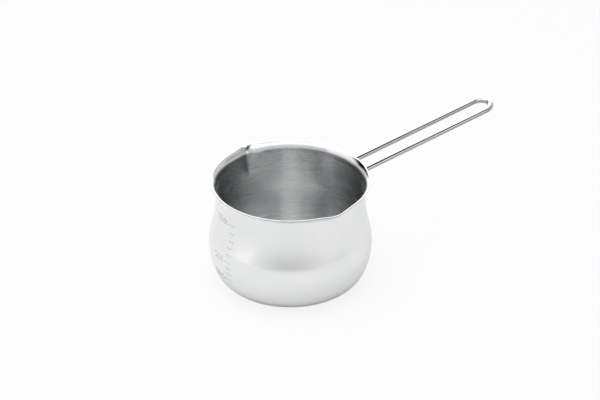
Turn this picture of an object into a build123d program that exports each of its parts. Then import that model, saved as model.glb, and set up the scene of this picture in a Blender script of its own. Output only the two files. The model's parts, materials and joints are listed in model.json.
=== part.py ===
"""Candle melting pot: a small pear-shaped pouring pot in one sheet of stainless steel,
with two spouts pressed into its rim and a bent-wire handle welded under its lip.

Millimetres, +Z up. The origin is the centre of the flat base, on the surface it stands on.
The handle runs out along +X and rises; the two pouring spouts point along +Y and -Y.
"""

import os
from math import acos, asin, atan, cos, degrees, pi, radians, sin, sqrt

from build123d import *

# ---- the sheet-metal pot ---------------------------------------------------------------
WALL = 0.8  # sheet thickness
BASE_FLAT_RADIUS = 30.5  # flat that the pot stands on
CORNER_ARC = 14.0  # outside radius of the bend from base to belly, seen from the side
CORNER_TURN = 64.4  # degrees that this bend turns through
BELLY_ARC = 37.6  # outside radius of the belly's curve, seen from the side
BELLY_LEAN = 13.9  # degrees that the belly's curve leans in past upright
SHOULDER_ARC = 100.0  # radius of the hollow curve from belly up to neck
NECK_LENGTH = 1.9  # straight stretch of the neck
LIP_ARC = 4.8  # underside radius of the lip's outward flare
LIP_REACH = 2.7  # how far the lip stands out from the neck

# ---- the two pressed spouts ------------------------------------------------------------
SPOUT_HEIGHT = 17.5  # from the spout's lower point up to the lip's edge
SPOUT_DEPTH = 2.2  # how far its nose stands out from the round lip
SPOUT_HALF_WIDTH = 12.0  # half its width at the lip, between the creases
SPOUT_NOSE_ARC = 12.0  # inside radius of its round nose at the lip
SPOUT_DIRECTIONS = (90.0, 270.0)  # degrees round the pot from the handle

# ---- the wire handle -------------------------------------------------------------------
WIRE_DIAMETER = 3.5
WIRE_SPACING = 12.2  # between the centre lines of the two straight runs
HANDLE_REACH = 142.7  # from the pot's axis to the handle's far end, along its slope
HANDLE_RISE = 7.5  # degrees above level
HANDLE_DROP = 5.7  # wire centre below the lip's edge, where it meets the neck
ROOT_BEND = 5.0  # centre-line radius where each run turns out along the neck
HUG_LENGTH = 7.0  # length of each wire end that lies along the neck
WIRE_END_CHAMFER = 0.5
SEAT_GAP = 0.3  # between the wire and the neck, filled by the weld

# ---- the welds -------------------------------------------------------------------------
WELD_HEIGHT = 3.8  # how tall each weld stands on the neck
WELD_FACE_HEIGHT = 3.0  # its height where it ends on the wire
WELD_REACH = 1.3  # from the neck out to that face, inside the wire
WELD_END_MARGIN = 0.8  # wire left bare at each end of its seat

# ---- how the shapes are drawn -----------------------------------------------------------
SPOUT_LEVELS = 9  # level outlines up the wall, and again round the lip's flare
SPOUT_FOOT_ARC = 1.5  # the least radius of its nose, down at the lower point
SPOUT_RUN_UNDER = 2.0  # how far the spout's wedge starts under its lower point
PAST_RIM = 0.25  # how far the hollow's shape runs up past the rim
WELD_ROOT = 0.4  # how far the weld's shape runs into the wall before it is cut to it

# ---- sizes that follow -----------------------------------------------------------------
WIRE_RADIUS = WIRE_DIAMETER / 2
CORNER_END = radians(CORNER_TURN - 90)
BELLY_END = radians(BELLY_LEAN)
BELLY_CENTRE = BASE_FLAT_RADIUS - (BELLY_ARC - CORNER_ARC) * cos(CORNER_END)
BELLY_HEIGHT = CORNER_ARC - (BELLY_ARC - CORNER_ARC) * sin(CORNER_END)
SHOULDER_CENTRE = BELLY_CENTRE + (BELLY_ARC + SHOULDER_ARC) * cos(BELLY_END)
NECK_HEIGHT = BELLY_HEIGHT + (BELLY_ARC + SHOULDER_ARC) * sin(BELLY_END)
NECK_RADIUS = SHOULDER_CENTRE - SHOULDER_ARC
LIP_START = NECK_HEIGHT + NECK_LENGTH
LIP_CENTRE = NECK_RADIUS + LIP_ARC
LIP_SWEEP = acos(1 - LIP_REACH / LIP_ARC)
LIP_EDGE_HEIGHT = LIP_START + LIP_ARC * sin(LIP_SWEEP)
POT_TOP = LIP_START + (LIP_ARC + WALL) * sin(LIP_SWEEP)
SPOUT_FOOT = LIP_EDGE_HEIGHT - SPOUT_HEIGHT
WIRE_HEIGHT = LIP_EDGE_HEIGHT - HANDLE_DROP
SEAT_RADIUS = NECK_RADIUS + SEAT_GAP + WIRE_RADIUS


def side_arc(centre, radius, start, end):
    """An arc in the side view (the XZ plane) between two angles from +X."""
    at = [
        centre + Vector(cos(angle), 0, sin(angle)) * radius
        for angle in (start, (start + end) / 2, end)
    ]
    return Edge.make_three_point_arc(*at)


def sheet_line(offset, lip_sweep):
    """The side view of one face of the sheet, from the base's edge up round the lip.

    offset is 0 for the outside face and WALL for the inside one. Each arc is tangent to
    the next, and lip_sweep is the angle that the flare turns through.
    """
    corner = Vector(BASE_FLAT_RADIUS, 0, CORNER_ARC)
    belly = Vector(BELLY_CENTRE, 0, BELLY_HEIGHT)
    shoulder = Vector(SHOULDER_CENTRE, 0, NECK_HEIGHT)
    lip = Vector(LIP_CENTRE, 0, LIP_START)
    neck = NECK_RADIUS - offset
    return [
        side_arc(corner, CORNER_ARC - offset, -pi / 2, CORNER_END),
        side_arc(belly, BELLY_ARC - offset, CORNER_END, BELLY_END),
        side_arc(shoulder, SHOULDER_ARC + offset, BELLY_END + pi, pi),
        Edge.make_line(Vector(neck, 0, NECK_HEIGHT), Vector(neck, 0, LIP_START)),
        side_arc(lip, LIP_ARC + offset, pi, pi - lip_sweep),
    ]


def turned(edges, floor, top):
    """The solid of revolution under a side-view line, between two levels."""
    start = edges[0] @ 0
    end = edges[-1] @ 1
    closing = [
        Edge.make_line(end, Vector(end.X, 0, top)),
        Edge.make_line(Vector(end.X, 0, top), Vector(0, 0, top)),
        Edge.make_line(Vector(0, 0, top), Vector(0, 0, floor)),
        Edge.make_line(Vector(0, 0, floor), start),
    ]
    return revolve(Face(Wire(edges + closing)), axis=Axis.Z)


def wall_radius(height, offset):
    """Radius of one face of the sheet at a height on the shoulder, neck or lip."""
    if height <= NECK_HEIGHT:
        fall = NECK_HEIGHT - height
        return SHOULDER_CENTRE - sqrt((SHOULDER_ARC + offset) ** 2 - fall**2)
    if height <= LIP_START:
        return NECK_RADIUS - offset
    return LIP_CENTRE - sqrt((LIP_ARC + offset) ** 2 - (height - LIP_START) ** 2)


def spout_outline(height, offset):
    """One level outline of the spout's wedge: a V with a round nose, closed behind.

    The spout opens evenly upwards, so depth, half width and nose arc at a level are the same
    share of their sizes at the lip. Its sides run tangent from the nose arc, meet the round
    wall at the half width, and end where the wall has turned parallel to them.
    """
    risen = (height - SPOUT_FOOT) / SPOUT_HEIGHT
    opened = max(risen, 0.0)
    radius = wall_radius(height, offset)
    fall = SPOUT_DEPTH + opened * SPOUT_HALF_WIDTH**2 / (2 * radius)
    slope = SPOUT_HALF_WIDTH - sqrt(SPOUT_HALF_WIDTH**2 - 2 * SPOUT_NOSE_ARC * fall)
    slope /= SPOUT_NOSE_ARC
    lean = atan(slope)
    nose_arc = max(opened * SPOUT_NOSE_ARC, SPOUT_FOOT_ARC) + WALL - offset
    nose = radius + SPOUT_DEPTH * risen
    tangent_x = nose - nose_arc * (1 - cos(lean))
    tangent_y = nose_arc * sin(lean)
    back_y = radius * sin(lean)
    back_x = tangent_x - (back_y - tangent_y) * slope
    left_back = Vector(back_x, -back_y, height)
    left_nose = Vector(tangent_x, -tangent_y, height)
    right_nose = Vector(tangent_x, tangent_y, height)
    right_back = Vector(back_x, back_y, height)
    return Face(Wire([
        Edge.make_line(left_back, left_nose),
        Edge.make_three_point_arc(left_nose, Vector(nose, 0, height), right_nose),
        Edge.make_line(right_nose, right_back),
        Edge.make_line(right_back, left_back),
    ]))


def spout_wedge(offset, top):
    """The spout's wedge from just under its lower point up to a level."""
    below = SPOUT_FOOT - SPOUT_RUN_UNDER
    straight = [
        below + (LIP_START - below) * step / (SPOUT_LEVELS - 1) for step in range(SPOUT_LEVELS)
    ]
    flare_top = min(top, LIP_EDGE_HEIGHT) if offset == 0 else top
    flare = [
        LIP_START + (flare_top - LIP_START) * sin(pi / 2 * step / (SPOUT_LEVELS - 1))
        for step in range(1, SPOUT_LEVELS)
    ]
    wedge = loft([spout_outline(level, offset) for level in straight + flare])
    if flare_top < top:
        wedge += extrude(spout_outline(flare_top, offset), top - flare_top)
    return wedge


def pot_body():
    """The pot: its outside with both spouts, less its inside with both spouts."""
    hollow_top = POT_TOP + PAST_RIM
    hollow_sweep = asin((hollow_top - LIP_START) / (LIP_ARC + WALL))
    outside = turned(sheet_line(0, LIP_SWEEP), 0, POT_TOP)
    inside = turned(sheet_line(WALL, hollow_sweep), WALL, hollow_top + PAST_RIM)
    outer_wedge = spout_wedge(0, POT_TOP)
    inner_wedge = spout_wedge(WALL, hollow_top)
    for direction in SPOUT_DIRECTIONS:
        outside += Rot(0, 0, direction) * outer_wedge
        inside += Rot(0, 0, direction) * inner_wedge
    return outside - inside


def handle_plane():
    """The sloping plane that the whole wire lies in, seen from the pot's axis."""
    rise = radians(HANDLE_RISE)
    seat = Vector(SEAT_RADIUS, 0, WIRE_HEIGHT)
    along = Vector(cos(rise), 0, sin(rise))
    return Plane(origin=seat - along * SEAT_RADIUS, x_dir=along, z_dir=(-sin(rise), 0, cos(rise)))


def seat_angles():
    """Where one wire end starts and stops lying along the neck, in radians from +X."""
    leaves = asin((WIRE_SPACING / 2 + ROOT_BEND) / (SEAT_RADIUS + ROOT_BEND))
    return leaves, leaves + HUG_LENGTH / SEAT_RADIUS


def flat_arc(centre, radius, start, end):
    """An arc in the handle's own plane between two angles from its x axis."""
    at = [
        centre + Vector(cos(angle), sin(angle)) * radius
        for angle in (start, (start + end) / 2, end)
    ]
    return Edge.make_three_point_arc(*at)


def wire_handle():
    """One rod: it lies along the neck, turns out, runs to a round far end and comes back."""
    half = WIRE_SPACING / 2
    leaves, stops = seat_angles()
    bend_x = (SEAT_RADIUS + ROOT_BEND) * cos(leaves)
    bend_y = half + ROOT_BEND
    far_x = HANDLE_REACH - WIRE_RADIUS - half
    line = Wire([
        flat_arc(Vector(0, 0), SEAT_RADIUS, stops, leaves),
        flat_arc(Vector(bend_x, bend_y), ROOT_BEND, leaves + pi, pi * 3 / 2),
        Edge.make_line(Vector(bend_x, half), Vector(far_x, half)),
        flat_arc(Vector(far_x, 0), half, pi / 2, -pi / 2),
        Edge.make_line(Vector(far_x, -half), Vector(bend_x, -half)),
        flat_arc(Vector(bend_x, -bend_y), ROOT_BEND, pi / 2, pi - leaves),
        flat_arc(Vector(0, 0), SEAT_RADIUS, -leaves, -stops),
    ])
    line = handle_plane().from_local_coords(line)
    end = Plane(origin=line @ 0, z_dir=line % 0)
    rod = sweep(end * Circle(WIRE_RADIUS), path=line)
    flat_ends = rod.faces().filter_by(GeomType.PLANE)
    return chamfer(flat_ends.edges(), WIRE_END_CHAMFER)


def weld(side, body, rod):
    """The weld along one end's seat, shaped by the neck and the wire that it joins.

    side is 1 for the end towards +Y and -1 for the end towards -Y.
    """
    leaves, stops = seat_angles()
    length = stops - leaves - 2 * WELD_END_MARGIN / SEAT_RADIUS
    middle = side * (leaves + stops) / 2
    face = NECK_RADIUS + WELD_REACH
    section = Polyline(
        (NECK_RADIUS - WELD_ROOT, -WELD_HEIGHT / 2),
        (face, -WELD_FACE_HEIGHT / 2),
        (face, WELD_FACE_HEIGHT / 2),
        (NECK_RADIUS - WELD_ROOT, WELD_HEIGHT / 2),
        close=True,
    )
    bead = revolve(Plane.XZ * make_face(section), axis=Axis.Z, revolution_arc=degrees(length))
    bead = Rot(0, 0, degrees(middle - length / 2)) * bead
    return handle_plane().location * bead - body - rod


def main():
    os.makedirs("parts", exist_ok=True)
    body = pot_body()
    rod = wire_handle()
    pieces = {
        "pot_body": body,
        "wire_handle": rod,
        "weld_left": weld(1, body, rod),
        "weld_right": weld(-1, body, rod),
    }
    for name, piece in pieces.items():
        export_step(piece, f"parts/{name}.step")
        print(name, "volume", round(piece.volume, 1), "mm3, solids", len(piece.solids()))


if __name__ == "__main__":
    main()
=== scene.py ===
import json
import math
import bpy
import numpy as np
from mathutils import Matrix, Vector

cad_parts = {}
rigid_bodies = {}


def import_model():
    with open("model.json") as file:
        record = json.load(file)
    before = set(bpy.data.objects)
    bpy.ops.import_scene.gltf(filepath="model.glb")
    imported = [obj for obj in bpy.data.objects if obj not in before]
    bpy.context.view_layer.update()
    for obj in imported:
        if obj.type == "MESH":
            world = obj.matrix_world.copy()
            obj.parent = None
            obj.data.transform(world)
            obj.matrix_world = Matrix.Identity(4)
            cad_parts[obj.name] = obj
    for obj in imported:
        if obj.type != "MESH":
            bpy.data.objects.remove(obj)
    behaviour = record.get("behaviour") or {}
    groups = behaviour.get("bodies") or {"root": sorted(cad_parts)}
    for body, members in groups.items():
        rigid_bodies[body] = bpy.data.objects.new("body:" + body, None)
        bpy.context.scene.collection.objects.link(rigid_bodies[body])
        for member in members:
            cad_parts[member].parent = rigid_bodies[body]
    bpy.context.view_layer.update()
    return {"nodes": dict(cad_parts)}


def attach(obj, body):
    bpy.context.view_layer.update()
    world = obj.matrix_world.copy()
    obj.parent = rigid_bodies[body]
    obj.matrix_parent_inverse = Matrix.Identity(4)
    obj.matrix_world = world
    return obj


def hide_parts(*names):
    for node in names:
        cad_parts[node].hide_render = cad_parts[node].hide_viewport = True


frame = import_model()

mm = 0.001  # the pieces are worked out in millimetres
print("frame loaded:", ", ".join(sorted(frame["nodes"])))


def endFan(ring, row, rows, cols, middle, flip):
    # triangles from one end ring to the vertex at its middle, with their UV corners
    after = (ring + 1) % cols
    around = [ring, after], [ring, ring + 1]
    if flip:
        around = [after, ring], [ring + 1, ring]
    faces = np.stack([row * cols + around[0][0], row * cols + around[0][1], np.full(cols, middle)], axis=-1)
    u = np.stack([around[1][0], around[1][1], ring + 0.5], axis=-1) / cols
    return faces, np.stack([u, np.full_like(u, row / rows)], axis=-1)


def gridMesh(name, points, wrapRows=False, closeStart=False, closeEnd=False, materialRows=()):
    # points[i, j] is row i, column j; columns always join up into rings. Faces are quads
    # (i, j) (i, j+1) (i+1, j+1) (i+1, j), and a closed end is one vertex at the ring's
    # middle. UV is (j / columns, i / rows). A row's material is how many of materialRows
    # it has reached.
    rows, cols = points.shape[:2]
    verts = points.reshape(-1, 3)
    i, j = np.meshgrid(np.arange(rows if wrapRows else rows - 1), np.arange(cols), indexing="ij")
    nextI, nextJ = (i + 1) % rows, (j + 1) % cols
    quads = np.stack([i * cols + j, i * cols + nextJ, nextI * cols + nextJ, nextI * cols + j], axis=-1)
    corners = [np.stack([j + dj, i + di], -1) for di, dj in ((0, 0), (0, 1), (1, 1), (1, 0))]
    cornerUvs = np.stack(corners, axis=2).reshape(-1, 4, 2) / np.array([cols, rows])
    faces, uvs = [quads.reshape(-1, 4)], [cornerUvs]
    faceRows = [i.reshape(-1)]
    for closed, row, flip in ((closeStart, 0, True), (closeEnd, rows - 1, False)):
        if closed:
            fan, fanUv = endFan(np.arange(cols), row, rows, cols, len(verts), flip)
            verts = np.vstack([verts, points[row].mean(axis=0)])
            faces.append(fan)
            uvs.append(fanUv)
            faceRows.append(np.full(cols, row))
    sizes = np.concatenate([np.full(len(f), f.shape[1]) for f in faces])
    loops = np.concatenate([f.reshape(-1) for f in faces])
    mesh = bpy.data.meshes.new(name)
    mesh.vertices.add(len(verts))
    mesh.vertices.foreach_set("co", (verts * mm).astype(np.float32).ravel())
    mesh.loops.add(len(loops))
    mesh.loops.foreach_set("vertex_index", loops.astype(np.int32))
    mesh.polygons.add(len(sizes))
    mesh.polygons.foreach_set("loop_start", np.concatenate([[0], np.cumsum(sizes)[:-1]]).astype(np.int32))
    mesh.polygons.foreach_set("use_smooth", np.ones(len(sizes), dtype=bool))
    reached = np.searchsorted(materialRows, np.concatenate(faceRows), side="right")
    mesh.polygons.foreach_set("material_index", reached.astype(np.int32))
    layer = mesh.uv_layers.new(name="surface")
    allUvs = np.concatenate([uv.reshape(-1, 2) for uv in uvs])
    layer.data.foreach_set("uv", allUvs.astype(np.float32).ravel())
    mesh.update()
    mesh.validate()
    piece = bpy.data.objects.new(name, mesh)
    bpy.context.scene.collection.objects.link(piece)
    return piece


def arcPoints(centre, radius, start, end, count):
    # (r, z) = centre + radius * (cos a, sin a), with a stepping evenly from start to end
    a = np.linspace(start, end, count)
    return np.stack([centre[0] + radius * np.cos(a), centre[1] + radius * np.sin(a)], axis=-1)


def joinPieces(name, pieces):
    # one piece out of several meshes, none of them moved
    for piece in bpy.context.scene.objects:
        piece.select_set(piece in pieces)
    bpy.context.view_layer.objects.active = pieces[0]
    bpy.ops.object.join()
    pieces[0].name = name
    return pieces[0]


pot = {
    "wall": 0.8,                # sheet thickness, mm
    "baseFlatRadius": 30.5,
    "cornerArc": 14.0,          # base to belly
    "cornerTurn": 64.4,         # degrees
    "bellyArc": 37.6,
    "bellyLean": 13.9,          # degrees past upright
    "shoulderArc": 100.0,       # hollow curve up to the neck
    "neckLength": 1.9,
    "lipArc": 4.8,
    "lipReach": 2.7,
    "edgeRounding": 0.25,       # broken edge of the trimmed lip
    "underEdge": 0.6,           # radians that the broken edge turns on underneath,
    "overEdge": 0.3,            # and past the top
    "centreRing": 0.6,          # radius of the first ring round the middle
    "flatSteps": 10,
    "arcSteps": 22,
    "underSteps": 4,
    "crestSteps": 6,
    "aroundSteps": 496,
    "drawnToSpouts": 0.38,      # how much closer the columns stand near the spouts
}

spout = {
    "height": 17.5,             # lower point to lip edge
    "depth": 2.2,               # nose beyond the round lip
    "halfWidth": 12.0,          # at the lip, between the creases
    "noseArc": 12.0,            # radius of its round nose at the lip
    "footArc": 1.5,             # and the least, down at the lower point
    "creaseSoftness": 0.25,     # mm, how softly its sides run into the wall
    "sideFade": 0.3,            # share of its half angle over which it ends at each side
    "footReach": 0.5,           # how far it is followed under its lower point, in heights,
    "footFadeRate": 6,          # and how it runs out there
    "footFadeStart": 1.5,
    "directions": (90.0, 270.0),
}


def potHeights(p):
    # centres of the tangent arcs: each lies on the line through the last centre and the
    # point where the arcs meet
    cornerEnd, bellyEnd = math.radians(p["cornerTurn"] - 90), math.radians(p["bellyLean"])
    inner, outer = p["bellyArc"] - p["cornerArc"], p["bellyArc"] + p["shoulderArc"]
    belly = (p["baseFlatRadius"] - inner * math.cos(cornerEnd), p["cornerArc"] - inner * math.sin(cornerEnd))
    shoulder = (belly[0] + outer * math.cos(bellyEnd), belly[1] + outer * math.sin(bellyEnd))
    neckRadius = shoulder[0] - p["shoulderArc"]
    lipStart = shoulder[1] + p["neckLength"]
    sweep = math.acos(1 - p["lipReach"] / p["lipArc"])
    return {
        "cornerEnd": cornerEnd, "bellyEnd": bellyEnd, "corner": (p["baseFlatRadius"], p["cornerArc"]),
        "belly": belly, "shoulder": shoulder, "neckRadius": neckRadius,
        "lip": (neckRadius + p["lipArc"], lipStart), "lipSweep": sweep,
        "lipEdge": lipStart + p["lipArc"] * math.sin(sweep),
        "top": lipStart + (p["lipArc"] + p["wall"]) * math.sin(sweep),
    }


heights = potHeights(pot)
spoutFoot = heights["lipEdge"] - spout["height"]


def sheetSide(p, h, offset):
    # one face of the sheet from the base's edge to the lip, as tangent arcs:
    # corner, belly, shoulder, straight neck, lip flare; offset moves it inwards
    steps = p["arcSteps"]
    return np.vstack([
        arcPoints(h["corner"], p["cornerArc"] - offset, -math.pi / 2, h["cornerEnd"], steps),
        arcPoints(h["belly"], p["bellyArc"] - offset, h["cornerEnd"], h["bellyEnd"], steps)[1:],
        arcPoints(h["shoulder"], p["shoulderArc"] + offset, h["bellyEnd"] + math.pi, math.pi, steps)[1:],
        arcPoints(h["lip"], p["lipArc"] + offset, math.pi, math.pi - h["lipSweep"], steps),
    ])


def potProfile(p, h):
    # outside from the base's centre up and out to the lip, over the trimmed edge, and down
    # the inside to the middle of the floor; with the rows where the trimmed edge and the
    # brushed inside start
    flat = np.linspace(p["centreRing"], p["baseFlatRadius"], p["flatSteps"])[:-1]
    base = np.stack([flat, np.zeros_like(flat)], axis=-1)
    floor = np.stack([flat, np.full_like(flat, p["wall"])], axis=-1)
    outside = sheetSide(p, h, 0.0)
    inside = sheetSide(p, h, p["wall"])
    e = p["edgeRounding"]
    outerEdge = h["neckRadius"] + p["lipReach"]
    turn = p["underEdge"]
    under = arcPoints((outerEdge - e, h["lipEdge"] + e * turn), e, -turn, 0.0, p["underSteps"])
    crest = arcPoints((outerEdge - e, h["top"] - e), e, 0.0, math.pi / 2 + p["overEdge"], p["crestSteps"])
    rows = np.vstack([base, outside, under[1:], crest, inside[::-1], floor[::-1]])
    edgeRow = len(base) + len(outside) - 1
    return rows, (edgeRow, edgeRow + len(under) + len(crest))


def aroundAngles(p):
    # angles drawn together near both spouts: a = t + pull * sin(2 t)
    t = np.linspace(0, 2 * math.pi, p["aroundSteps"], endpoint=False)
    return t + p["drawnToSpouts"] * np.sin(2 * t)


def spoutRadius(radius, height, angle, s):
    # how far out the sheet lies once the spouts are pressed. In the level section a spout is
    # a nose arc with its two tangent sides, all growing evenly from its lower point:
    # arc c cos f + sqrt(a^2 - c^2 sin^2 f), side (x + k y) / (cos f + k sin f) past the
    # tangent point (x, y). It is merged with the round wall by the smooth maximum
    # (a + b + sqrt((a - b)^2 + c^2)) / 2 and ends where the wall is parallel to its side.
    risen = np.clip((height - spoutFoot) / s["height"], -s["footReach"], 1.0)
    opened = np.maximum(risen, 0.0)
    fall = s["depth"] + opened * s["halfWidth"] ** 2 / (2 * radius)
    slope = (s["halfWidth"] - np.sqrt(s["halfWidth"] ** 2 - 2 * s["noseArc"] * fall)) / s["noseArc"]
    lean = np.arctan(slope)
    arc = np.maximum(opened * s["noseArc"], s["footArc"])
    nose = radius + s["depth"] * risen
    tangentX, tangentY = nose - arc * (1 - np.cos(lean)), arc * np.sin(lean)
    result = radius * np.ones_like(angle)
    for direction in s["directions"]:
        f = np.abs((angle - math.radians(direction) + math.pi) % (2 * math.pi) - math.pi)
        near = np.minimum(f, lean)
        centre = nose - arc
        curved = centre * np.cos(near) + np.sqrt(np.maximum(arc ** 2 - (centre * np.sin(near)) ** 2, 0.0))
        flat = (tangentX + slope * tangentY) / (np.cos(near) + slope * np.sin(near))
        gap = np.where(near < np.arctan2(tangentY, tangentX), curved, flat) - result
        lifted = (gap + np.sqrt(gap ** 2 + s["creaseSoftness"] ** 2)) / 2
        atSide = np.clip((lean - f) / (s["sideFade"] * lean), 0, 1)
        atFoot = np.clip(risen * s["footFadeRate"] + s["footFadeStart"], 0, 1)
        result = result + lifted * atSide * atFoot
    return result


def makePot():
    # the profile's rows carried round the axis: (R cos a, R sin a, z), with R from spoutRadius
    rows, materialRows = potProfile(pot, heights)
    angle = aroundAngles(pot)[None, :]
    radius = spoutRadius(rows[:, :1], rows[:, 1:], angle, spout)
    z = rows[:, 1:] * np.ones_like(angle)
    points = np.stack([radius * np.cos(angle), radius * np.sin(angle), z], axis=-1)
    return gridMesh("potBody", points, closeStart=True, closeEnd=True, materialRows=materialRows)


scale = {
    "ounces": (2, 3, 4, 5, 6, 7, 8, 9, 10),
    "heights": (15.4, 19.6, 23.2, 27.1, 31.7, 35.9, 40.0, 45.0, 49.9),  # mm above the base
    "labelled": (2, 5, 10),
    "tickFrom": 189.2,          # degrees round the pot
    "shortTo": 183.6,
    "longTo": 181.0,
    "labelFrom": 179.9,
    "figureHeight": 3.4,        # mm
    "figurePitch": 3.9,
    "narrowPitch": 0.5,         # shares of the pitch that a 1 and any other figure take
    "widePitch": 0.85,
    "leanStep": 0.1,            # mm of height over which the wall's lean is taken
    "lineWidth": 0.42,
    "lineProud": 0.07,          # how far a stamped line stands out of the sheet
    "lineSteps": 24,
    "roundSteps": 10,
}

# each figure's strokes, x in the reading direction and y up, in figure heights
figures = {
    "1": [[(0.25, 0.0), (0.25, 1.0)]],
    "2": [[(0.0, 0.76), (0.06, 0.92), (0.28, 1.0), (0.5, 0.9), (0.54, 0.68), (0.42, 0.45), (0.0, 0.0),
           (0.58, 0.0)]],
    "5": [[(0.52, 1.0), (0.08, 1.0), (0.03, 0.56), (0.28, 0.62), (0.52, 0.48), (0.55, 0.25), (0.4, 0.04),
           (0.16, 0.0), (0.0, 0.12)]],
    "Z": [[(0.0, 1.0), (0.6, 1.0), (0.0, 0.0), (0.6, 0.0)]],
}
rounds = {"0": 0.27, "O": 0.38}  # closed oval figures and their half widths


def alongLine(corners, count):
    # count points spread evenly by length along a line through the corners
    corners = np.array(corners, dtype=float)
    length = np.concatenate([[0], np.cumsum(np.linalg.norm(np.diff(corners, axis=0), axis=1))])
    at = np.linspace(0, length[-1], count)
    return np.stack([np.interp(at, length, corners[:, 0]), np.interp(at, length, corners[:, 1])], axis=-1)


def stampedLine(name, line, closed, offset):
    # a low rounded ridge along a line of (degrees, height) on the wall: wall point + normal *
    # proud * sin b + across * half width * cos b; offset 0 is the outside, the wall's
    # thickness the inside, where the ridge stands into the pot
    side = sheetSide(pot, heights, offset)
    angle, z = np.radians(line[:, 0]), line[:, 1]
    radius = np.interp(z, side[:, 1], side[:, 0])
    lean = (np.interp(z + scale["leanStep"], side[:, 1], side[:, 0]) - radius) / scale["leanStep"]
    out = np.stack([np.cos(angle), np.sin(angle), -lean], axis=-1)
    out /= np.linalg.norm(out, axis=1, keepdims=True)
    place = np.stack([radius * np.cos(angle), radius * np.sin(angle), z], axis=-1)
    if closed:
        step = np.roll(place, -1, axis=0) - np.roll(place, 1, axis=0)
    else:
        step = np.gradient(place, axis=0)
    step /= np.linalg.norm(step, axis=1, keepdims=True)
    across = np.cross(step, out)
    b = np.linspace(0, 2 * math.pi, scale["roundSteps"], endpoint=False)[None, :, None]
    points = (place[:, None] + out[:, None] * scale["lineProud"] * np.sin(b)
              + across[:, None] * scale["lineWidth"] / 2 * np.cos(b))
    return gridMesh(name, points[:, ::-1], wrapRows=closed, closeStart=not closed, closeEnd=not closed)


def makeScale(s):
    # a tick at every height, and beside every labelled one its figures, which read from inside
    # the pot: a stroke's x runs round the wall as x / radius, its y up the wall
    lines = []
    for ounce, height in zip(s["ounces"], s["heights"]):
        tickTo = s["longTo"] if ounce in s["labelled"] else s["shortTo"]
        lines.append((alongLine([(s["tickFrom"], height), (tickTo, height)], s["lineSteps"]), False))
        if ounce not in s["labelled"]:
            continue
        side = sheetSide(pot, heights, 0.0)
        radius = float(np.interp(height, side[:, 1], side[:, 0]))
        size, start = s["figureHeight"], 0.0
        for figure in f"{ounce}OZ":
            half = rounds.get(figure)
            if half:
                a = np.linspace(0, 2 * math.pi, 2 * s["lineSteps"], endpoint=False)
                strokes = [(np.stack([half + half * np.cos(a), 0.5 + 0.5 * np.sin(a)], axis=-1), True)]
            else:
                strokes = [(alongLine(stroke, s["lineSteps"]), False) for stroke in figures[figure]]
            for stroke, closed in strokes:
                turn = s["labelFrom"] - np.degrees((start + stroke[:, 0] * size) / radius)
                lines.append((np.stack([turn, height + (stroke[:, 1] - 0.5) * size], axis=-1), closed))
            start += s["figurePitch"] * (s["narrowPitch"] if figure == "1" else s["widePitch"])
    pieces = [stampedLine(f"scaleLine{n}_{offset}", line, closed, offset)
              for offset in (0.0, pot["wall"]) for n, (line, closed) in enumerate(lines)]
    return joinPieces("scaleMarks", pieces)


handle = {
    "wireRadius": 1.75,
    "spacing": 12.2,            # between the two straight runs
    "reach": 142.7,             # pot's axis to the far end, along the slope
    "rise": 7.5,                # degrees
    "drop": 5.7,                # under the lip's edge, at the neck
    "rootBend": 5.0,
    "hug": 7.0,                 # each end's length along the neck
    "seatGap": 0.3,             # between wire and neck, filled by the weld
    "endRounding": 0.5,
    "runSteps": 40,
    "bendSteps": 20,
    "aroundSteps": 48,
}


def handlePlane(h):
    # origin and the along, across and up directions of the sloping plane that holds the wire,
    # and how far the wire's centre lies from the pot's axis where it hugs the neck
    rise = math.radians(h["rise"])
    seat = heights["neckRadius"] + h["seatGap"] + h["wireRadius"]
    along = np.array([math.cos(rise), 0, math.sin(rise)])
    up = np.array([-math.sin(rise), 0, math.cos(rise)])
    origin = np.array([seat, 0, heights["lipEdge"] - h["drop"]]) - along * seat
    return origin, along, np.array([0, 1.0, 0]), up, seat


def hugAngles(h, seat):
    # where one wire end leaves the neck and where it stops, in radians from the handle
    leaves = math.asin((h["spacing"] / 2 + h["rootBend"]) / (seat + h["rootBend"]))
    return leaves, leaves + h["hug"] / seat


def handlePath(h, seat):
    # centre line in the plane: arc along the neck, root bend, straight run, half circle,
    # and the same mirrored back
    half = h["spacing"] / 2
    bend, steps = h["rootBend"], h["bendSteps"]
    leaves, stops = hugAngles(h, seat)
    bendX = (seat + bend) * math.cos(leaves)
    farX = h["reach"] - h["wireRadius"] - half
    hug = arcPoints((0, 0), seat, stops, leaves, steps)
    root = arcPoints((bendX, half + bend), bend, leaves + math.pi, 1.5 * math.pi, steps)
    run = np.stack([np.linspace(bendX, farX, h["runSteps"]), np.full(h["runSteps"], half)], axis=-1)
    far = arcPoints((farX, 0), half, math.pi / 2, 0, steps)
    one = np.vstack([hug, root[1:], run[1:], far[1:]])
    return np.vstack([one, one[-2::-1] * np.array([1, -1])])


def sweepTube(line, radii, steps):
    # a tube round a flat line: ring centre + radius * (cos a * side + sin a * up), where
    # side is the line's own normal in the plane
    step = np.gradient(line, axis=0)
    step /= np.linalg.norm(step, axis=1, keepdims=True)
    side = np.stack([-step[:, 1], step[:, 0]], axis=-1)
    a = np.linspace(0, 2 * math.pi, steps, endpoint=False)
    flat = line[:, None, :] + (radii[:, :1] * np.cos(a))[..., None] * side[:, None, :]
    return flat, radii[:, 1:] * np.sin(a)


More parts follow.
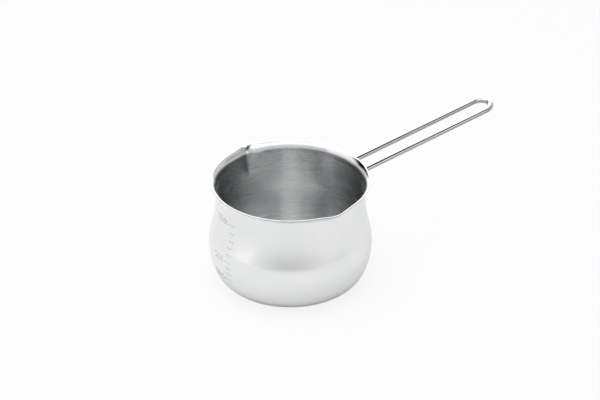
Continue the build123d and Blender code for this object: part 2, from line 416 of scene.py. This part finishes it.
def roundedEnds(line, rounding, radius, steps=6):
    # the line with both ends drawn back, and ring radii that round them off by a quarter circle
    turn = np.linspace(0, math.pi / 2, steps)
    shrink = rounding * (1 - np.cos(turn[::-1]))
    parts, sizes = [], []
    for end, nextTo in ((line[0], line[1]), (line[-1], line[-2])):
        outward = (end - nextTo) / np.linalg.norm(end - nextTo)
        parts.append(end - outward * rounding * (1 - np.sin(turn[::-1]))[:, None])
        sizes.append(radius - shrink)
    full = np.vstack([parts[0], line[1:-1], parts[1][::-1]])
    return full, np.concatenate([sizes[0], np.full(len(line) - 2, radius), sizes[1][::-1]])


def makeHandle(h):
    # the wire's tube laid in the handle's plane: origin + x * along + y * across + lift * up
    origin, along, across, up, seat = handlePlane(h)
    line, radii = roundedEnds(handlePath(h, seat), h["endRounding"], h["wireRadius"])
    flat, lift = sweepTube(line, np.stack([radii, radii], axis=-1), h["aroundSteps"])
    points = origin + flat[..., :1] * along + flat[..., 1:] * across + lift[..., None] * up
    return gridMesh("handleWire", points, closeStart=True, closeEnd=True)


weld = {
    "height": 3.8,              # on the neck, mm
    "reach": 1.3,               # from the neck to its face inside the wire
    "sunk": 0.5,                # how far it has melted into the neck
    "margin": 0.8,              # wire left bare at each end
    "rippleLength": 0.85,
    "rippleDepth": 0.07,
    "endPower": 8,              # the higher, the blunter its ends
    "endLeast": 0.02,           # square of the share of its radii left at the very end
    "lengthSteps": 90,
    "aroundSteps": 32,
}


def makeWeld(name, side, w):
    # a bead along one end of the wire: an oval tube on the arc between neck and wire, its
    # radii drawn in by depth * |sin| along it, and towards the ends by sqrt(1 - |2 t - 1|^power)
    origin, along, across, up, seat = handlePlane(handle)
    leaves, stops = hugAngles(handle, seat)
    trim = w["margin"] / seat
    t = np.linspace(0, 1, w["lengthSteps"])
    angle = leaves + trim + (stops - leaves - 2 * trim) * t
    middle = heights["neckRadius"] + (w["reach"] - w["sunk"]) / 2
    length = (stops - leaves - 2 * trim) * seat
    ripple = 1 - w["rippleDepth"] * np.abs(np.sin(math.pi * t * length / w["rippleLength"]))
    taper = np.sqrt(np.clip(1 - np.abs(2 * t - 1) ** w["endPower"], w["endLeast"], 1))
    line = np.stack([middle * np.cos(angle), side * middle * np.sin(angle)], axis=-1)
    size = (ripple * taper)[:, None] * np.array([(w["reach"] + w["sunk"]) / 2, w["height"] / 2])
    flat, lift = sweepTube(line, size, w["aroundSteps"])
    points = origin + flat[..., :1] * along + flat[..., 1:] * across + lift[..., None] * up
    return gridMesh(name, points, closeStart=True, closeEnd=True)


def newMaterial(name, f):
    material = bpy.data.materials.new(name)
    material.use_nodes = True
    nodes = material.node_tree.nodes
    nodes.clear()
    output = nodes.new("ShaderNodeOutputMaterial")
    shader = nodes.new("ShaderNodeBsdfPrincipled")
    shader.inputs["Metallic"].default_value = 1.0
    shader.inputs["Anisotropic"].default_value = f.get("anisotropic", 0.0)
    shader.inputs["Anisotropic Rotation"].default_value = f.get("anisotropicTurn", 0.0)
    link(material, shader.outputs[0], output.inputs[0])
    return material, shader


def node(material, kind, **settings):
    made = material.node_tree.nodes.new(kind)
    for key, value in settings.items():
        setattr(made, key, value)
    return made


def link(material, source, target):
    material.node_tree.links.new(source, target)


def maths(material, operation, *values):
    # one Math node on numbers or outputs
    made = node(material, "ShaderNodeMath", operation=operation)
    for socket, value in zip(made.inputs, values):
        if isinstance(value, (int, float)):
            socket.default_value = value
        else:
            link(material, value, socket)
    return made.outputs[0]


def objectPlace(material):
    return node(material, "ShaderNodeTexCoord").outputs["Object"]


def noise(material, vector, scale=1.0, detail=3.0):
    made = node(material, "ShaderNodeTexNoise")
    made.inputs["Scale"].default_value = scale
    made.inputs["Detail"].default_value = detail
    link(material, vector, made.inputs["Vector"])
    return made.outputs[0]


def stretched(material, vector, sizes):
    # the place divided by a size along each axis, in metres
    made = node(material, "ShaderNodeMapping")
    made.inputs["Scale"].default_value = tuple(1 / size for size in sizes)
    link(material, vector, made.inputs["Vector"])
    return made.outputs[0]


def between(material, value, low, high, valueFrom=0.35, valueTo=0.65):
    # value's usual range carried over to low..high
    made = node(material, "ShaderNodeMapRange")
    for socket, number in zip(made.inputs[1:5], (valueFrom, valueTo, low, high)):
        socket.default_value = number
    link(material, value, made.inputs[0])
    return made.outputs[0]


def colourBetween(material, share, first, second):
    # first * (1 - share) + second * share; the node's colour sockets are 6 and 7
    made = node(material, "ShaderNodeMix", data_type="RGBA")
    made.inputs[6].default_value = (*first, 1)
    made.inputs[7].default_value = (*second, 1)
    link(material, share, made.inputs[0])
    return made.outputs[2]


def bump(material, height, strength, distance, shader):
    made = node(material, "ShaderNodeBump")
    made.inputs["Strength"].default_value = strength
    made.inputs["Distance"].default_value = distance
    link(material, height, made.inputs["Height"])
    link(material, made.outputs[0], shader.inputs["Normal"])


def ringVector(material, ringSize, wander):
    # (x / r * wander, y / r * wander, (r + z) / ringSize): nearly constant round a ring and
    # quick along the wall, so noise on it draws the rings that turning leaves
    place = objectPlace(material)
    split = node(material, "ShaderNodeSeparateXYZ")
    link(material, place, split.inputs[0])
    x, y, z = split.outputs
    across = maths(material, "ADD", maths(material, "MULTIPLY", x, x), maths(material, "MULTIPLY", y, y))
    r = maths(material, "MAXIMUM", maths(material, "SQRT", across), 0.0001)  # never 0, on the axis
    joined = node(material, "ShaderNodeCombineXYZ")
    for axis, value in enumerate((x, y)):
        share = maths(material, "MULTIPLY", maths(material, "DIVIDE", value, r), wander)
        link(material, share, joined.inputs[axis])
    link(material, maths(material, "DIVIDE", maths(material, "ADD", r, z), ringSize), joined.inputs[2])
    return joined.outputs[0], z


# sizes in metres; lipWear is added to the roughness towards the lip, and is less than 0 where
# the flare is polished
finishAndPaintedLight = {
    "potOutside": {
        # painted light: the outside's colour is written lighter than the steel sheet it shares with the
        # inside
        "colour": (0.88, 0.885, 0.88), "cloud": (0.86, 0.87, 0.87), "cloudSize": 0.02,
        "lines": "rings", "lineSize": 0.0005, "lineWander": 2.5, "lineDepth": 0.02,
        "roughness": (0.12, 0.17), "lipWear": 0.05, "lipWearFrom": 0.0022,
    },
    "lipEdge": {
        # partly real and partly painted shade: the trimmed edge's grain and roughness are its own, and its
        # colour is written darker than the outside to paint the dark line along the rim
        "colour": (0.62, 0.625, 0.62), "cloud": (0.54, 0.55, 0.55), "cloudSize": 0.003,
        "lines": "grain", "lineSize": 0.00015, "lineDepth": 0.1, "roughness": (0.3, 0.42),
    },
    "potInside": {
        # painted shade: the inside's colour is written darker than the outside of the same sheet, which
        # darkens the hollow
        "colour": (0.55, 0.565, 0.56), "cloud": (0.51, 0.525, 0.525), "cloudSize": 0.02,
        "lines": "rings", "lineSize": 0.001, "lineWander": 0.25, "lineDepth": 0.01,
        "roughness": (0.25, 0.275), "anisotropic": 0.97, "anisotropicTurn": 0.25,
        "lipWear": -0.34, "lipWearFrom": 0.0065,
    },
    "handleSteel": {
        # painted shade: the wire's colour is written darker than its steel, which darkens the whole wire
        "colour": (0.46, 0.46, 0.465), "cloud": (0.43, 0.43, 0.44), "cloudSize": 0.008,
        "lines": "drawn", "lineSize": 0.00025, "lineLength": 0.0375, "lineDepth": 0.02,
        "roughness": (0.035, 0.08),
    },
    "weldSteel": {
        "colour": (0.62, 0.58, 0.52), "cloud": (0.42, 0.44, 0.50), "cloudSize": 0.0018,
        "lines": "grain", "lineSize": 0.00018, "lineDepth": 0.25, "roughness": (0.3, 0.5),
    },
    "scaleSteel": {
        "colour": (0.36, 0.37, 0.37), "cloud": (0.46, 0.47, 0.47), "cloudSize": 0.0015,
        "lines": "grain", "lineSize": 0.0001, "lineDepth": 0.1, "roughness": (0.3, 0.42),
    },
}


def steel(name):
    # metal with cloudy colour, and one noise along its own finishing lines that drives both
    # roughness and bump: rings round the pot, lines along the wire, or plain grain
    f = finishAndPaintedLight[name]
    material, shader = newMaterial(name, f)
    place = objectPlace(material)
    clouds = noise(material, stretched(material, place, (f["cloudSize"],) * 3), detail=2.0)
    colour = colourBetween(material, between(material, clouds, 0.0, 1.0), f["colour"], f["cloud"])
    link(material, colour, shader.inputs["Base Color"])
    size, height = f["lineSize"], None
    if f["lines"] == "rings":
        vector, height = ringVector(material, size, f["lineWander"])
    elif f["lines"] == "drawn":
        vector = stretched(material, place, (f["lineLength"], size, size))
    else:
        vector = stretched(material, place, (size,) * 3)
    lines = noise(material, vector)
    rough = between(material, lines, *f["roughness"])
    if "lipWear" in f:
        wear = maths(material, "SUBTRACT", height, heights["top"] * mm - f["lipWearFrom"])
        wear = between(material, wear, 0.0, f["lipWear"], 0.0, f["lipWearFrom"])
        rough = maths(material, "ADD", rough, maths(material, "MULTIPLY", wear, clouds))
    link(material, rough, shader.inputs["Roughness"])
    bump(material, lines, f["lineDepth"], size / 2, shader)
    if f.get("anisotropic"):
        tangent = node(material, "ShaderNodeTangent", direction_type="UV_MAP", uv_map="surface")
        link(material, tangent.outputs[0], shader.inputs["Tangent"])
    return material


def addPiece(piece, replaced, slot, *materials):
    # the finished piece on the pot's one body, with its look and the part it stands for; slot is not used
    for material in materials:
        piece.data.materials.append(material)
    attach(piece, "root")
    if replaced:
        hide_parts(replaced)
    print(piece.name, "placed:", len(piece.data.polygons), "faces")


addPiece(makePot(), "pot_body", "pot_steel", steel("potOutside"), steel("lipEdge"), steel("potInside"))
addPiece(makeScale(scale), None, "pot_steel", steel("scaleSteel"))
addPiece(makeHandle(handle), "wire_handle", "handle_steel", steel("handleSteel"))
weldSteel = steel("weldSteel")
for end, side in (("left", 1), ("right", -1)):
    addPiece(makeWeld(f"weld_bead_{end}", side, weld), f"weld_{end}", "weld_steel", weldSteel)


stage = {
    "floorSize": 6.0,           # m
    "floorDrop": 0.0001,        # under the base, so that the two don't share one plane
    "floorColour": 0.88,
    "whiteToCamera": 0.85,      # how much of the floor's look is plain white
    "whiteToMetal": 0.1,        # the same, as metal reflects it
    "worldLight": 0.25,         # what the white surroundings give to everything else
}

camera = {
    "azimuth": -34.3,           # degrees; 0 looks along +Y
    "elevation": 31.05,
    "distance": 2.275,          # m
    "lens": 239.6,
    "sensor": 36.0,
    "aimRight": 5.5,            # mm from the lip's centre, across the view
    "aimDown": 11.6,
    "clipEnd": 20,              # m
}

# cards seen only in the metal: centre and two half sides as (right, away, up) in the main
# view, in metres, then radiance and how much of the half side fades out. A flag is black, a
# panel above 1 is brighter than the white surroundings, and both show in every view.
cards = {
    "flagRight": ((0.59, -0.19, 0.77), (-0.063, -0.136, 0), (-0.27, 0.126, 0.24), 0.0, 0.1),
    "panelRightLow": ((0.60, -0.25, 0.20), (-0.05, -0.0875, 0), (0, 0, 0.17), 1.9, 0.5),
    "panelFront": ((0.0, -0.62, 0.38), (0.50, 0, 0), (0, 0, 0.20), 1.0, 0.5),
    "panelFrontHigh": ((0.04, -0.56, 0.84), (0.55, 0, 0), (0, 0.16, 0.2), 2.2, 0.7),
    "flagLeft": ((-0.54, 0.60, 0.54), (0.24, 0.21, 0), (0, 0, 0.29), 0.0, 0.4),
    "panelBehind": ((-0.02, 1.0, 0.76), (0.70, 0, 0), (0, 0, 0.72), 4.0, 0.6),
    "panelLeft": ((-1.0, -0.1, 0.80), (0, 0.6, 0), (0, 0, 0.6), 1.6, 0.3),
    "panelRight": ((0.95, 0.08, 0.78), (0, 0.42, 0), (0, 0, 0.5), 0.6, 0.4),
    "veilTop": ((0.0, 0.05, 1.0), (0.55, 0, 0), (0, 0.5, 0), 1.5, 0.6),
    "floorFront": ((0.0, -0.40, 0.001), (0.27, 0, 0), (0, 0.27, 0), 0.6, 0.8),
    "floorLeft": ((-0.24, -0.10, 0.001), (0.10, 0.05, 0), (-0.06, 0.12, 0), 1.05, 0.6),
    "floorRight": ((0.42, -0.05, 0.001), (0.22, 0, 0), (0, 0.16, 0), 0.05, 0.8),
}

# place (right, away, up) in the main view and size, in metres, then radiance
lamps = {
    "lampTop": ((-0.1, 0.0, 1.1), (1.55, 1.55), 1.95),
}


def viewAxes():
    # rows: right, away and up of the main view, level with the table
    az = math.radians(camera["azimuth"])
    return np.array([(math.cos(az), math.sin(az), 0), (-math.sin(az), math.cos(az), 0), (0, 0, 1)])


def whiteShare(tree, toCamera, toMetal):
    # toCamera on camera rays, toMetal on glossy and transmission rays, otherwise 0
    path = tree.nodes.new("ShaderNodeLightPath")
    shares = []
    for output, share in (("Is Camera Ray", toCamera), ("Is Glossy Ray", toMetal),
                          ("Is Transmission Ray", toMetal)):
        scaled = tree.nodes.new("ShaderNodeMath")
        scaled.operation = "MULTIPLY"
        scaled.inputs[1].default_value = share
        tree.links.new(path.outputs[output], scaled.inputs[0])
        shares.append(scaled.outputs[0])
    for other in shares[1:]:
        most = tree.nodes.new("ShaderNodeMath")
        most.operation = "MAXIMUM"
        tree.links.new(shares[0], most.inputs[0])
        tree.links.new(other, most.inputs[1])
        shares[0] = most.outputs[0]
    return shares[0]


def mixedOutput(tree, kind, share, first, second):
    output = tree.nodes.new(kind)
    mix = tree.nodes.new("ShaderNodeMixShader")
    tree.links.new(share, mix.inputs[0])
    tree.links.new(first.outputs[0], mix.inputs[1])
    tree.links.new(second.outputs[0], mix.inputs[2])
    tree.links.new(mix.outputs[0], output.inputs[0])


def makeFloor(s):
    bpy.ops.mesh.primitive_plane_add(size=s["floorSize"])
    floor = bpy.context.object
    floor.name = "floor"
    floor.location.z = -s["floorDrop"]
    material = bpy.data.materials.new("floorPaper")
    material.use_nodes = True
    tree = material.node_tree
    tree.nodes.clear()
    paper = tree.nodes.new("ShaderNodeBsdfDiffuse")
    paper.inputs["Color"].default_value = (s["floorColour"],) * 3 + (1,)
    white = tree.nodes.new("ShaderNodeEmission")
    share = whiteShare(tree, s["whiteToCamera"], s["whiteToMetal"])
    mixedOutput(tree, "ShaderNodeOutputMaterial", share, paper, white)
    floor.data.materials.append(material)


def makeWorld(s):
    world = bpy.data.worlds.new("studio")
    bpy.context.scene.world = world
    world.use_nodes = True
    tree = world.node_tree
    tree.nodes.clear()
    soft = tree.nodes.new("ShaderNodeBackground")
    white = tree.nodes.new("ShaderNodeBackground")
    for background, strength in ((soft, s["worldLight"]), (white, 1.0)):
        background.inputs["Color"].default_value = (1, 1, 1, 1)
        background.inputs["Strength"].default_value = strength
    mixedOutput(tree, "ShaderNodeOutputWorld", whiteShare(tree, 1.0, 1.0), soft, white)


def makeCamera(c):
    az, el = math.radians(c["azimuth"]), math.radians(c["elevation"])
    back = Vector((math.sin(az) * math.cos(el), -math.cos(az) * math.cos(el), math.sin(el)))
    right = Vector((math.cos(az), math.sin(az), 0))
    up = back.cross(right)
    lipCentre = Vector((0, 0, heights["top"] * mm))
    target = lipCentre + right * c["aimRight"] * mm - up * c["aimDown"] * mm
    data = bpy.data.cameras.new("camera")
    data.lens = c["lens"]
    data.sensor_width = c["sensor"]
    data.clip_end = c["clipEnd"]
    view = bpy.data.objects.new("camera", data)
    bpy.context.scene.collection.objects.link(view)
    view.location = target + back * c["distance"]
    view.rotation_euler = (-back).to_track_quat("-Z", "Y").to_euler()
    bpy.context.scene.camera = view


def makeCard(name, centre, across, upward, radiance, fade):
    # a flat card, fading out towards its edges by smoothstep(min(u, 1 - u, v, 1 - v) / fade)
    axes = viewAxes()
    middle, across, upward = (np.array(v) @ axes for v in (centre, across, upward))
    corners = [middle + a * across + b * upward for a, b in ((-1, -1), (1, -1), (1, 1), (-1, 1))]
    mesh = bpy.data.meshes.new(name)
    mesh.from_pydata([tuple(c) for c in corners], [], [(0, 1, 2, 3)])
    layer = mesh.uv_layers.new(name="card")
    layer.data.foreach_set("uv", np.array([0, 0, 1, 0, 1, 1, 0, 1], dtype=np.float32))
    card = bpy.data.objects.new(name, mesh)
    bpy.context.scene.collection.objects.link(card)
    material = bpy.data.materials.new(name)
    material.use_nodes = True
    tree = material.node_tree
    tree.nodes.clear()
    split = node(material, "ShaderNodeSeparateXYZ")
    link(material, node(material, "ShaderNodeUVMap", uv_map="card").outputs[0], split.inputs[0])
    offCentre = [maths(material, "SUBTRACT", at, 0.5) for at in split.outputs[:2]]
    inward = [maths(material, "SUBTRACT", 0.5, maths(material, "ABSOLUTE", off)) for off in offCentre]
    solid = node(material, "ShaderNodeMapRange", interpolation_type="SMOOTHSTEP")
    solid.inputs["From Max"].default_value = fade / 2
    link(material, maths(material, "MINIMUM", *inward), solid.inputs[0])
    clear = node(material, "ShaderNodeBsdfTransparent")
    tone = node(material, "ShaderNodeEmission")
    tone.inputs["Color"].default_value = (radiance, radiance, radiance, 1)
    mixedOutput(tree, "ShaderNodeOutputMaterial", solid.outputs[0], clear, tone)
    mesh.materials.append(material)
    card.visible_camera = card.visible_diffuse = card.visible_shadow = False


def makeLamp(name, place, size, radiance):
    # a rectangular softbox aimed at the pot; its power is radiance * area * pi
    place = Vector(np.array(place) @ viewAxes())
    data = bpy.data.lights.new(name, "AREA")
    data.shape = "RECTANGLE"
    data.size, data.size_y = size
    data.energy = radiance * size[0] * size[1] * math.pi
    lamp = bpy.data.objects.new(name, data)
    bpy.context.scene.collection.objects.link(lamp)
    lamp.location = place
    lamp.rotation_euler = (-place).to_track_quat("-Z", "Y").to_euler()


makeFloor(stage)
makeWorld(stage)
makeCamera(camera)
for name, values in cards.items():
    makeCard(name, *values)
for name, values in lamps.items():
    makeLamp(name, *values)
bpy.context.scene.view_settings.view_transform = "Standard"
print("stage, lamps and camera placed")
